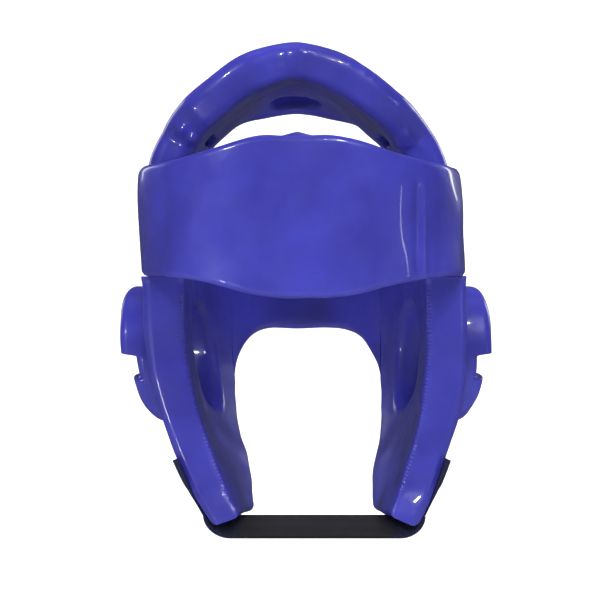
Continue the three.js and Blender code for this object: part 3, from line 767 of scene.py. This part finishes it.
CROWN_BUMPS = (
    {"x": -4.0, "z": 9.5, "radius": 6.0, "height": 3.4},
    {"x": -4.5, "z": 8.5, "radius": 9.5, "height": -2.2},
    {"x": 3.0, "z": 16.5, "radius": 3.0, "height": 1.4},
    {"x": 6.0, "z": 12.5, "radius": 2.4, "height": 0.9},
    {"x": -5.5, "z": 15.5, "radius": 2.4, "height": 0.8},
    {"x": 8.5, "z": 15.5, "radius": 2.2, "height": 0.7},
    {"x": 33.4, "z": 9.6, "radius": 2.0, "height": 0.6},
    {"x": 41.5, "z": 4.3, "radius": 1.9, "height": 0.6},
    {"x": 46.8, "z": 0.8, "radius": 1.8, "height": 0.6},
    {"x": 62.5, "z": -11.4, "radius": 2.2, "height": 0.6},
    {"x": 67.0, "z": -17.8, "radius": 2.4, "height": 0.6},
    {"x": -66.0, "z": -28.0, "radius": 4.0, "height": 2.7},
    {"x": -60.5, "z": -34.0, "radius": 3.2, "height": 2.7},
    {"x": -57.0, "z": -42.0, "radius": 3.0, "height": 2.2},
    {"x": -68.0, "z": -40.0, "radius": 4.5, "height": 2.2},
    {"x": 62.0, "z": -38.0, "radius": 4.2, "height": 2.7},
    {"x": 70.0, "z": -36.0, "radius": 3.8, "height": 2.9},
    {"x": 76.0, "z": -38.0, "radius": 3.4, "height": 2.3},
    {"x": 66.0, "z": -31.0, "radius": 3.0, "height": 1.8},
)


def crown_edges(arch):
    """Front and rear edge of the crown, from their places at the top to those of the legs."""
    at = np.abs(arch)
    front = -CROWN_FRONT + (CROWN_FRONT - LEG_FRONT) * column(CROWN_EDGES, "arch", "front", at)
    rear = CROWN_REAR + (LEG_REAR - CROWN_REAR) * column(CROWN_EDGES, "arch", "rear", at)
    return front, rear


def vent_frame(vent, foam):
    """Middle of a vent and its three directions, across, along and up through the crown."""
    arch, y = np.array([vent["arch"]]), np.array([vent["y"]])
    foot, head = over_crown(arch, y, np.zeros(1))[0], over_crown(arch, y, np.full(1, foam))[0]
    up = (head - foot) / np.linalg.norm(head - foot)
    right = np.cross((0.0, 1.0, 0.0), up)
    right /= np.linalg.norm(right)
    return (foot + head) / 2, np.stack([right, np.cross(up, right), up])


def vent_cutter(vent, foam):
    """Slot with round ends, twice the foam deep: a stadium carried along the vent's direction."""
    middle, axes = vent_frame(vent, foam)
    radius = min(vent["across"], vent["along"]) / 2
    turn = np.linspace(0.0, 2 * math.pi, 64, endpoint=False) + math.pi / 64
    x = radius * np.cos(turn) + np.sign(np.cos(turn)) * (vent["across"] / 2 - radius)
    y = radius * np.sin(turn) + np.sign(np.sin(turn)) * (vent["along"] / 2 - radius)
    levels = np.linspace(-foam, foam, 12)[:, None]
    local = np.stack(np.broadcast_arrays(x[None, :], y[None, :], levels), axis=-1)
    return make_object("vent_cutter", middle + local @ axes, False)


def soften(mesh, weight, turns):
    """Draws each vertex towards the mean of its neighbours by a weight, so sharp rims turn round."""
    count = len(mesh.vertices)
    points = np.empty(count * 3)
    mesh.vertices.foreach_get("co", points)
    points = points.reshape(-1, 3)
    edges = np.empty(len(mesh.edges) * 2, dtype=np.int32)
    mesh.edges.foreach_get("vertices", edges)
    start, end = edges.reshape(-1, 2).T
    share = weight(points)[:, None]
    degree = np.bincount(np.concatenate([start, end]), minlength=count)[:, None]
    for _ in range(turns):
        total = np.zeros_like(points)
        np.add.at(total, start, points[end])
        np.add.at(total, end, points[start])
        points += share * (total / np.maximum(degree, 1) - points)
    mesh.vertices.foreach_set("co", points.ravel())
    mesh.update()


class GUARD_OT_crown_arch(bpy.types.Operator):
    """Make the crown arch with its three vents"""
    bl_idname = "guard.crown_arch"
    bl_label = "Crown arch"

    def execute(self, context):
        sizes, finish = context.scene.guard_sizes, context.scene.guard_finish
        foam, wave = sizes.foam / MM, sizes.waviness / MM
        joint, edge = sizes.joint_round / MM, sizes.edge_round / MM

        def place(u, v, out):
            arch = 2.0 * u - 1.0
            front, rear = crown_edges(arch)
            return over_crown(arch, front + (rear - front) * v, out)

        def relief(points):
            return waves(points, wave) + bumps(points, CROWN_BUMPS)

        points = panel(place, foam, (edge, edge, edge, CROWN_FRONT_ROUNDER * edge), joint,
                       300, {"face": 80, "wall": 14, "arc": 8})
        piece = make_object("crown_arch_skin", points, False, relief)
        cutters = [vent_cutter(vent, foam) for vent in VENTS]
        for cutter in cutters:
            modifier = piece.modifiers.new("vent", "BOOLEAN")
            modifier.object = cutter
            modifier.solver = "EXACT"
        graph = context.evaluated_depsgraph_get()
        mesh = bpy.data.meshes.new_from_object(piece.evaluated_get(graph))
        piece.modifiers.clear()
        piece.data = mesh
        mesh.name = piece.name
        for cutter in cutters:
            bpy.data.objects.remove(cutter)

        def near_rim(points):
            weight = np.zeros(len(points))
            for vent in VENTS:
                middle, axes = vent_frame(vent, foam)
                local = (points / MM - settle(middle[None, :])) @ axes.T
                radius = min(vent["across"], vent["along"]) / 2
                half = np.array([vent["across"] / 2 - radius, vent["along"] / 2 - radius])
                past = np.maximum(np.abs(local[:, :2]) - half, 0.0)
                away = np.abs(np.linalg.norm(past, axis=1) - radius)
                level = np.abs(np.abs(local[:, 2]) - foam / 2)
                pull = RIM_PULL * ease(1.6 - away / RIM_ACROSS) * ease(1.8 - level / RIM_DOWN)
                weight = np.maximum(weight, pull)
            return weight

        soften(mesh, near_rim, RIM_TURNS)
        smooth(mesh)
        dress_foam(piece, "crown_arch", finish)
        return {"FINISHED"}


NAPE_FROM = float(plan_angle(NAPE_CORNER))
NAPE_EVEN = evenly(plan, NAPE_FROM, 2.0 * math.pi - NAPE_FROM)
NAPE_HALF = float(plan(NAPE_FROM)[0])


class GUARD_OT_nape_pad(bpy.types.Operator):
    """Make the nape pad, whose bottom edge arches over the neck"""
    bl_idname = "guard.nape_pad"
    bl_label = "Nape pad"

    def execute(self, context):
        sizes, finish = context.scene.guard_sizes, context.scene.guard_finish
        foam, wave = sizes.foam / MM, sizes.waviness / MM
        joint, edge = sizes.joint_round / MM, sizes.edge_round / MM

        def place(u, v, out):
            angle = NAPE_EVEN(u)
            share = np.abs(plan(angle)[..., 0]) / NAPE_HALF
            bottom = -NAPE_ARCH - NAPE_ARCH_DROP * share ** NAPE_ARCH_POWER
            top = NAPE_TOP - NAPE_TOP_ROUND * share ** 2
            return over_band(angle, bottom + (top - bottom) * v, out)

        points = panel(place, foam, (edge,) * 4, joint, 220, {"face": 60, "wall": 12, "arc": 8})
        piece = make_object("nape_pad_skin", points, False, lambda at: waves(at, NAPE_WAVES * wave))
        dress_foam(piece, "nape_pad", finish)
        return {"FINISHED"}


def side_outline():
    """Outline of a side pad as y and z: down the front edge, along the foot of the flap, up the
    rear edge and back along the top. Returns the points, how free each is of a joint, and its
    distance down the front edge."""
    rear_foot = -JAW_DROP + JAW_FOOT_RISE
    top_rear = NAPE_TOP - NAPE_TOP_ROUND

    def front(t):
        z = SIDE_TOP + (-JAW_DROP - SIDE_TOP) * t
        return np.stack([side_front(z), z], axis=-1)

    def foot(t):
        start, end = side_front(-JAW_DROP), side_rear(rear_foot)
        return np.stack([start + (end - start) * t, -JAW_DROP + JAW_FOOT_RISE * t], axis=-1)

    def rear(t):
        z = rear_foot + (top_rear - rear_foot) * t
        return np.stack([side_rear(z), z], axis=-1)

    def top(t):
        y = NAPE_CORNER + (-TEMPLE - NAPE_CORNER) * t
        rise = ease((y - LEG_REAR) / (NAPE_CORNER - LEG_REAR))
        return np.stack([y, SIDE_TOP + (top_rear - SIDE_TOP) * rise], axis=-1)

    edges = []
    for edge, count in ((front, FRONT_COLUMNS), (foot, 40), (rear, 90), (top, 64)):
        share = np.arange(count) / count
        edges.append(edge(evenly(edge, 0.0, 1.0)(share)))
    outline = np.concatenate(edges)
    free = (outline[:, 1] < SIDE_TOP - 1.0) & (outline[:, 0] < NAPE_CORNER - 1.0)
    steps = np.linalg.norm(np.diff(edges[0], axis=0), axis=1)
    down = np.full(len(outline), np.nan)
    down[:FRONT_COLUMNS] = np.concatenate(([0.0], np.cumsum(steps)))
    return outline, free.astype(float), down


def ear_reach(direction):
    """Distance from the middle of the ear hole to its edge: an ellipse, drawn out by a bell curve
    of the direction towards its tip."""
    ellipse = np.hypot(np.cos(direction) / EAR_HALF_LENGTH, np.sin(direction) / EAR_HALF_HEIGHT)
    away = 1.0 - np.cos(direction - EAR_TIP_TURN)
    return (1.0 + EAR_TIP * np.exp(-EAR_TIP_SHARP * away)) / ellipse


def foot_tilt(y, z, out):
    """How much higher the foot of a flap is: the tilt times the shares of the way forwards and in
    through the foam, and a smooth step that fades upwards."""
    foot_front, foot_rear = side_front(-JAW_DROP), side_rear(-JAW_DROP)
    forward = np.clip((foot_rear - y) / (foot_rear - foot_front), 0.0, 1.0)
    return JAW_FOOT_TILT * forward * (1.0 - out) * ease(1.0 - (JAW_DROP + z) / JAW_TILT_REACH)


def spread(values, turns):
    """Evens out a closed row of values by repeated means of three."""
    for _ in range(turns):
        values = (np.roll(values, 1) + values + np.roll(values, -1)) / 3.0
    return values


class GUARD_OT_side_pads(bpy.types.Operator):
    """Make both side pads, each with its ear hole and jaw flap"""
    bl_idname = "guard.side_pads"
    bl_label = "Side pads"

    def execute(self, context):
        sizes, finish = context.scene.guard_sizes, context.scene.guard_finish
        foam, wave = sizes.foam / MM, sizes.waviness / MM
        joint, edge = sizes.joint_round / MM, sizes.edge_round / MM
        pitch = sizes.bead_pitch / MM
        outline, free, down = side_outline()
        free = spread(free, 6)[:, None]
        centre = np.array([EAR_BACK, -EAR_DROP])
        offset = outline - centre
        direction = np.arctan2(offset[:, 1], offset[:, 0])[:, None]
        reach = ear_reach(direction)
        length = np.linalg.norm(offset, axis=1)[:, None] - reach
        rounds = (
            np.full_like(length, edge), joint + (SEAM_ROUND * edge - joint) * free,
            joint + (edge - joint) * free, np.full_like(length, joint),
        )
        counts = {"face": 46, "wall": 12, "arc": 8}
        along, height = section(length, foam, rounds, 0.0 * length, counts)
        y = centre[0] + np.cos(direction) * (reach + along)
        z = centre[1] + np.sin(direction) * (reach + along)
        z = z + foot_tilt(y, z, height / foam)
        middle = (1.0 - math.sqrt(0.5)) * SEAM_ROUND * edge
        corner = np.exp(-(((length - along) - middle) ** 2 + (height - middle) ** 2) / BEAD_RADIUS ** 2)
        turn = 2 * math.pi * down / pitch + 1.3 * np.sin(down / 9.0) + 0.9 * np.sin(down / 3.7)
        bead = np.where(np.isnan(down), 0.0, 0.5 + 0.5 * np.sin(turn))
        window = ease((down - BEAD_FROM) / BEAD_FADE) * ease((BEAD_TO - down) / BEAD_FADE)
        window = np.where(np.isnan(down), 0.0, window)
        line = BEAD_HEIGHT * corner * (bead * window)[:, None]
        for name, side in (("left", 1.0), ("right", -1.0)):
            points = over_side(side, y, z, height / foam, 0.0 * height, foam)
            piece = make_object(
                f"side_pad_{name}_skin", points, True, lambda at: waves(at, SIDE_WAVES * wave) + line)
            dress_foam(piece, f"side_pad_{name}", finish)
        return {"FINISHED"}


def guard_rise(height):
    """How far the ear guard stands out at a height from the middle of the ear hole: one rise above
    the sound groove, one below it, and smooth steps down to the groove's own."""
    into = ease((GROOVE_STEP / 2 - height) / GROOVE_STEP)
    out_of = ease((GROOVE_BOTTOM + GROOVE_STEP / 2 + height) / GROOVE_STEP)
    upper = GUARD_UPPER_RISE + (GROOVE_RISE - GUARD_UPPER_RISE) * into
    lower = GUARD_LOWER_RISE + (GROOVE_RISE - GUARD_LOWER_RISE) * out_of
    return np.where(height < -GROOVE_BOTTOM / 2, lower, upper)


class GUARD_OT_ear_guards(bpy.types.Operator):
    """Make both ear guards, thick rings cut by a sound groove in front and behind"""
    bl_idname = "guard.ear_guards"
    bl_label = "Ear guards"

    def execute(self, context):
        sizes, finish = context.scene.guard_sizes, context.scene.guard_finish
        foam, wave = sizes.foam / MM, sizes.waviness / MM
        joint = sizes.joint_round / MM
        turn = np.linspace(0.0, 2 * math.pi, 420, endpoint=False)[:, None]
        rise = guard_rise((EAR_HALF_HEIGHT + GUARD_BAND / 2) * np.sin(turn))
        soft = np.minimum(GUARD_ROUND, rise / 2)
        small = np.full_like(rise, GUARD_FOOT_ROUND)
        counts = {"face": 14, "wall": 14, "arc": 8}
        band = GUARD_BAND - joint + 0.0 * rise
        along, height = section(band, rise, (small, small, soft, soft), 0.0 * rise, counts)
        low = np.maximum(0.0, 1.0 - height / FILLET_HEIGHT) ** 2
        fillet = FILLET * low * (2.0 * along / band - 1.0)
        start = joint + along + fillet
        y = EAR_BACK + (EAR_HALF_LENGTH + start) * np.cos(turn)
        z = -EAR_DROP + (EAR_HALF_HEIGHT + start) * np.sin(turn)
        for name, side in (("left", 1.0), ("right", -1.0)):
            points = over_side(side, y, z, 1.0 + 0.0 * height, height, foam)
            piece = make_object(f"ear_guard_{name}_skin", points, True, lambda at: waves(at, wave))
            dress_foam(piece, f"ear_guard_{name}", finish)
        return {"FINISHED"}


def strap_line(y, drop, edge, foam):
    """Inner face of the strap at one edge, as points from a flap's outside to the other's: down the
    flap, a quarter ellipse round its foot, straight under the chin, and the same on the far side."""
    foot_front, foot_rear = side_front(-JAW_DROP), side_rear(-JAW_DROP + JAW_FOOT_RISE)
    foot = -JAW_DROP + JAW_FOOT_RISE * (y - foot_front) / (foot_rear - foot_front)
    z = np.linspace(-STRAP_START, foot + edge, 60)
    down = over_side(1.0, np.full_like(z, y), z, np.ones_like(z), np.full_like(z, STRAP_LIFT), foam)
    heel = down[-1]
    turn = np.linspace(0.0, math.pi / 2, 26)[1:]
    x = heel[0] - (edge + STRAP_FLARE) * (1.0 - np.cos(turn))
    bend = np.stack([x, np.full_like(x, y), heel[2] - (edge + drop) * np.sin(turn)], axis=-1)
    across = np.linspace(bend[-1][0], 0.0, 40)[1:]
    level = np.stack([across, np.full_like(across, y), np.full_like(across, bend[-1][2])], axis=-1)
    half = np.concatenate([down, bend, level])
    other = half[-2::-1] * np.array([-1.0, 1.0, 1.0])
    return np.concatenate([half, other])


class GUARD_OT_chin_strap(bpy.types.Operator):
    """Make the broad elastic chin strap"""
    bl_idname = "guard.chin_strap"
    bl_label = "Chin strap"

    def execute(self, context):
        sizes, finish = context.scene.guard_sizes, context.scene.guard_finish
        foam, edge = sizes.foam / MM, sizes.edge_round / MM
        width, thick = sizes.strap_width / MM, sizes.strap_thick / MM
        front = strap_line(-STRAP_FRONT, STRAP_DROP_FRONT, edge, foam)
        rear = strap_line(-STRAP_FRONT + width, STRAP_DROP_REAR, edge, foam)
        middle = (front + rear) / 2
        run = np.gradient(middle, axis=0)
        outward = np.stack([-run[:, 2], np.zeros(len(run)), run[:, 0]], axis=-1)
        outward /= np.linalg.norm(outward, axis=1, keepdims=True)
        rows = len(front)
        size = np.full((rows, 1), width)
        rounds = [np.full((rows, 1), STRAP_ROUND)] * 4
        inset = np.zeros((rows, 1))
        along, height = section(size, thick, rounds, inset, {"face": 60, "wall": 2, "arc": 4})
        share = (along / width)[..., None]
        face = front[:, None] * (1 - share) + rear[:, None] * share
        points = face + outward[:, None] * height[..., None]
        length = np.concatenate(([0.0], np.cumsum(np.linalg.norm(np.diff(middle, axis=0), axis=1))))
        sideways = np.broadcast_to(length[:, None], along.shape)
        uv = np.stack([np.minimum(sideways, length[-1] - sideways), along], axis=-1) * MM
        piece = make_object("chin_strap_elastic", points, False, None, uv)
        piece.data.materials.append(woven_elastic(finish))
        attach(piece, "root")
        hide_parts("chin_strap")
        return {"FINISHED"}


WORLD_LIGHT = 0.06
LIGHTS = (
    {"name": "key", "at": (0.45, -1.0, 0.85), "size": 0.12, "tall": 0.12, "power": 5.5},
    {"name": "second", "at": (-0.75, -0.9, 0.6), "size": 0.12, "tall": 0.12, "power": 4.0},
    {"name": "front", "at": (0.1, -2.2, 0.62), "size": 0.9, "tall": 0.9, "power": 27.0, "shows": False},
    {"name": "left_rim", "at": (-1.15, 1.0, 0.42), "size": 0.3, "tall": 0.7, "power": 2.4},
    {"name": "right_rim", "at": (1.15, 1.0, 0.42), "size": 0.3, "tall": 0.7, "power": 3.4},
    {"name": "top_glint", "at": (0.18, -1.0, 0.66), "size": 0.06, "tall": 0.06, "power": 1.3},
    {"name": "low_left", "at": (-0.62, -0.68, -0.32), "size": 0.06, "tall": 0.06, "power": 0.9},
    {"name": "side_strip", "at": (1.25, -0.95, -0.05), "size": 0.03, "tall": 0.5, "power": 0.5},
    {"name": "floor_bounce", "at": (0.0, 0.0, -0.335), "aim": (0.0, 0.0, 1.0), "size": 0.9, "tall": 0.9,
     "power": 0.55, "shows": False},
    {"name": "backdrop", "at": (0.0, 0.6, 2.2), "aim": (0.0, 2.2, -0.2), "size": 2.0, "tall": 2.0,
     "power": 115.0, "shows": False},
)


class GUARD_OT_stage(bpy.types.Operator):
    """Make the floor, the lights and the camera"""
    bl_idname = "guard.stage"
    bl_label = "Stage"

    def execute(self, context):
        finish = context.scene.guard_finish
        level = np.array([(FLOOR_FRONT, FLOOR_LEVEL), (BEND_START, FLOOR_LEVEL)])
        turn = np.linspace(0.0, math.pi / 2, 24)[1:]
        back = BEND_START + BEND_RADIUS * np.sin(turn)
        up = FLOOR_LEVEL + BEND_RADIUS * (1.0 - np.cos(turn))
        top = [(BEND_START + BEND_RADIUS, BACKDROP_TOP)]
        profile = np.concatenate([level, np.stack([back, up], axis=-1), top])
        left = np.insert(profile, 0, -FLOOR_HALF, axis=1)
        right = np.insert(profile, 0, FLOOR_HALF, axis=1)
        count = len(profile)
        index = np.arange(count - 1)
        faces = np.stack([index, index + count, index + count + 1, index + 1], axis=-1)
        mesh = bpy.data.meshes.new("floor")
        mesh.from_pydata(np.concatenate([left, right]).tolist(), [], faces.tolist())
        smooth(mesh)
        floor = bpy.data.objects.new("floor", mesh)
        context.collection.objects.link(floor)
        material, tree, shader = new_material("pale_floor")
        node_input(shader, "Base Color", (*finish.floor, 1.0))
        node_input(shader, "Roughness", 0.9)
        mesh.materials.append(material)
        floor.visible_glossy = False

        world = bpy.data.worlds.new("studio")
        world.use_nodes = True
        node_input(world.node_tree.nodes["Background"], "Color", (1.0, 1.0, 1.0, 1.0))
        node_input(world.node_tree.nodes["Background"], "Strength", WORLD_LIGHT)
        context.scene.world = world
        context.scene.view_settings.view_transform = "Standard"
        for row in LIGHTS:
            lamp = bpy.data.lights.new(row["name"], "AREA")
            lamp.shape = "ELLIPSE"
            lamp.size = row["size"]
            lamp.size_y = row["tall"]
            lamp.energy = row["power"]
            light = bpy.data.objects.new(row["name"], lamp)
            light.location = row["at"]
            light.visible_glossy = row.get("shows", True)
            light.visible_camera = False
            aim = np.array(row.get("aim", LIGHT_AIM)) - np.array(row["at"])
            flat = math.hypot(aim[0], aim[1])
            light.rotation_euler = (math.atan2(flat, -aim[2]), 0.0, math.atan2(-aim[0], aim[1]))
            context.collection.objects.link(light)

        lens = bpy.data.cameras.new("camera")
        lens.lens = CAMERA_LENS
        lens.sensor_width = CAMERA_SENSOR
        lens.clip_end = 20.0
        camera = bpy.data.objects.new("camera", lens)
        camera.location = (CAMERA_SIDE, -CAMERA_DISTANCE, -CROWN_HEIGHT * MM)
        camera.rotation_euler = (math.pi / 2, 0.0, 0.0)
        context.collection.objects.link(camera)
        context.scene.camera = camera
        return {"FINISHED"}


PIECE_OPERATORS = (
    GUARD_OT_brow_pad, GUARD_OT_brow_liner, GUARD_OT_crown_arch, GUARD_OT_nape_pad,
    GUARD_OT_side_pads, GUARD_OT_ear_guards, GUARD_OT_chin_strap, GUARD_OT_stage,
)


class GUARD_PT_panel(bpy.types.Panel):
    """Sizes, colours and pieces of the head guard"""
    bl_idname = "GUARD_PT_panel"
    bl_label = "Head guard"
    bl_space_type = "VIEW_3D"
    bl_region_type = "UI"
    bl_category = "Head guard"

    def draw(self, context):
        for group in (context.scene.guard_sizes, context.scene.guard_finish):
            box = self.layout.box()
            for name in group.__annotations__:
                box.prop(group, name)
        for operator in PIECE_OPERATORS:
            self.layout.operator(operator.bl_idname)


CLASSES = (GuardSizes, GuardFinish, *PIECE_OPERATORS, GUARD_PT_panel)


def register():
    for cls in CLASSES:
        bpy.utils.register_class(cls)
    bpy.types.Scene.guard_sizes = PointerProperty(type=GuardSizes)
    bpy.types.Scene.guard_finish = PointerProperty(type=GuardFinish)


def unregister():
    del bpy.types.Scene.guard_finish
    del bpy.types.Scene.guard_sizes
    for cls in reversed(CLASSES):
        bpy.utils.unregister_class(cls)


def main():
    register()
    bpy.ops.guard.brow_pad()
    bpy.ops.guard.brow_liner()
    bpy.ops.guard.crown_arch()
    bpy.ops.guard.nape_pad()
    bpy.ops.guard.side_pads()
    bpy.ops.guard.ear_guards()
    bpy.ops.guard.chin_strap()
    bpy.ops.guard.stage()


if __name__ == "__main__":
    main()
